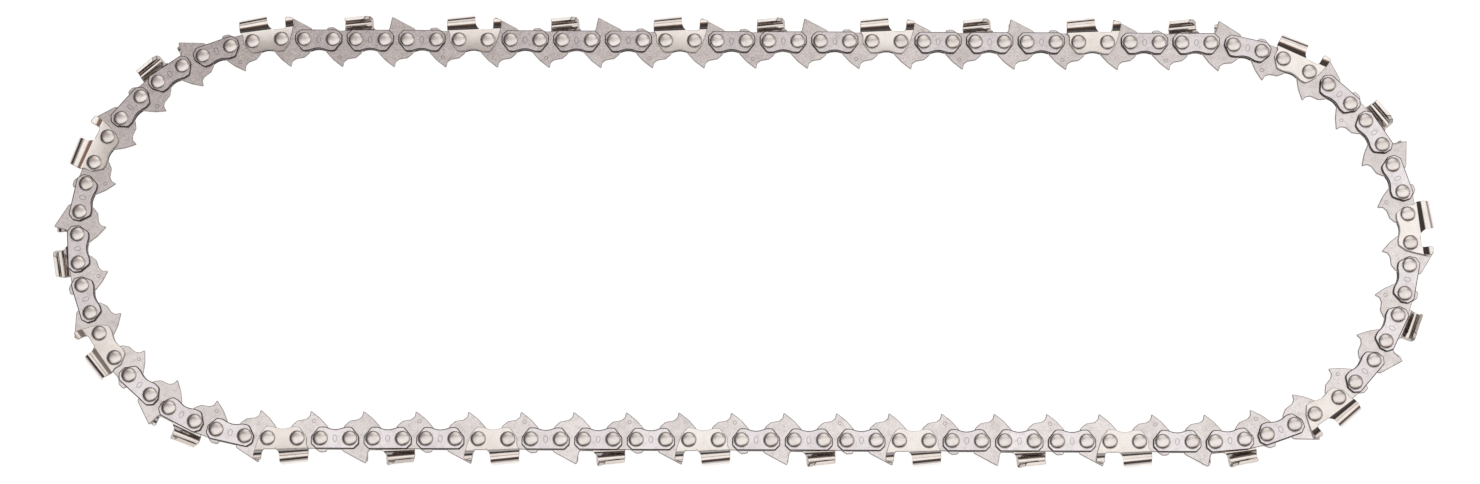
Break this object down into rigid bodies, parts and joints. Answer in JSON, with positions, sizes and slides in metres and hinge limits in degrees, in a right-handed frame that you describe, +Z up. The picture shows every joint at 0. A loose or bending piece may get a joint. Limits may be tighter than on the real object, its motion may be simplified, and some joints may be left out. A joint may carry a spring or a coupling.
{
  "type": "chainsaw chain loop",
  "caption": "Closed loop of riveted saw chain: hooked drive links between straps, with right-hand and left-hand cutters taking turns, lying flat.",
  "frame": {"origin": "centre of the loop, on the surface it lies on", "axes": "+X along the straight runs, +Y towards the top run, +Z up across the chain"},
  "size_m": [0.4952, 0.164, 0.0062],
  "materials": {
    "cutter_steel": "bright plated, polished",
    "strap_steel": "tumbled satin",
    "link_steel": "fine matt, hardened",
    "rivet_steel": "peened, smooth"
  },
  "bodies": {
    "bottom_run": {"bottom_run_bumper_links": "link_steel", "bottom_run_opposite_straps": "strap_steel", "bottom_run_plain_links": "link_steel", "bottom_run_rivets": "rivet_steel", "bottom_run_tie_straps": "strap_steel", "left_hand_cutter_10": "cutter_steel", "left_hand_cutter_11": "cutter_steel", "left_hand_cutter_12": "cutter_steel", "left_hand_cutter_13": "cutter_steel", "right_hand_cutter_10": "cutter_steel", "right_hand_cutter_11": "cutter_steel", "right_hand_cutter_12": "cutter_steel", "right_hand_cutter_13": "cutter_steel", "right_hand_cutter_14": "cutter_steel"},
    "right_end": {"left_hand_cutter_07": "cutter_steel", "left_hand_cutter_08": "cutter_steel", "left_hand_cutter_09": "cutter_steel", "right_end_bumper_links": "link_steel", "right_end_opposite_straps": "strap_steel", "right_end_plain_links": "link_steel", "right_end_rivets": "rivet_steel", "right_end_tie_straps": "strap_steel", "right_hand_cutter_07": "cutter_steel", "right_hand_cutter_08": "cutter_steel", "right_hand_cutter_09": "cutter_steel"},
    "top_run": {"left_hand_cutter_02": "cutter_steel", "left_hand_cutter_03": "cutter_steel", "left_hand_cutter_04": "cutter_steel", "left_hand_cutter_05": "cutter_steel", "left_hand_cutter_06": "cutter_steel", "right_hand_cutter_03": "cutter_steel", "right_hand_cutter_04": "cutter_steel", "right_hand_cutter_05": "cutter_steel", "right_hand_cutter_06": "cutter_steel", "top_run_bumper_links": "link_steel", "top_run_opposite_straps": "strap_steel", "top_run_plain_links": "link_steel", "top_run_rivets": "rivet_steel", "top_run_tie_straps": "strap_steel"},
    "left_end": {"left_end_bumper_links": "link_steel", "left_end_opposite_straps": "strap_steel", "left_end_plain_links": "link_steel", "left_end_rivets": "rivet_steel", "left_end_tie_straps": "strap_steel", "left_hand_cutter_01": "cutter_steel", "left_hand_cutter_14": "cutter_steel", "left_hand_cutter_15": "cutter_steel", "right_hand_cutter_01": "cutter_steel", "right_hand_cutter_02": "cutter_steel", "right_hand_cutter_15": "cutter_steel"}
  },
  "joints": [
    {"name": "right_end_turn", "type": "hinge", "parent": "bottom_run", "child": "right_end", "pos_m": [0.16719, -0.07241, 0.0031], "axis": [0, 0, 1], "range_deg": [-12, 12]},
    {"name": "left_end_turn", "type": "hinge", "parent": "bottom_run", "child": "left_end", "pos_m": [-0.16833, -0.07241, 0.0031], "axis": [0, 0, 1], "range_deg": [-12, 12]},
    {"name": "top_run_turn", "type": "hinge", "parent": "right_end", "child": "top_run", "pos_m": [0.16833, 0.07241, 0.0031], "axis": [0, 0, 1], "range_deg": [-12, 12]}
  ],
  "couplings": [
    {"joint": "left_end_turn", "follows": "right_end_turn", "ratio": 1},
    {"joint": "top_run_turn", "follows": "right_end_turn", "ratio": -1}
  ]
}
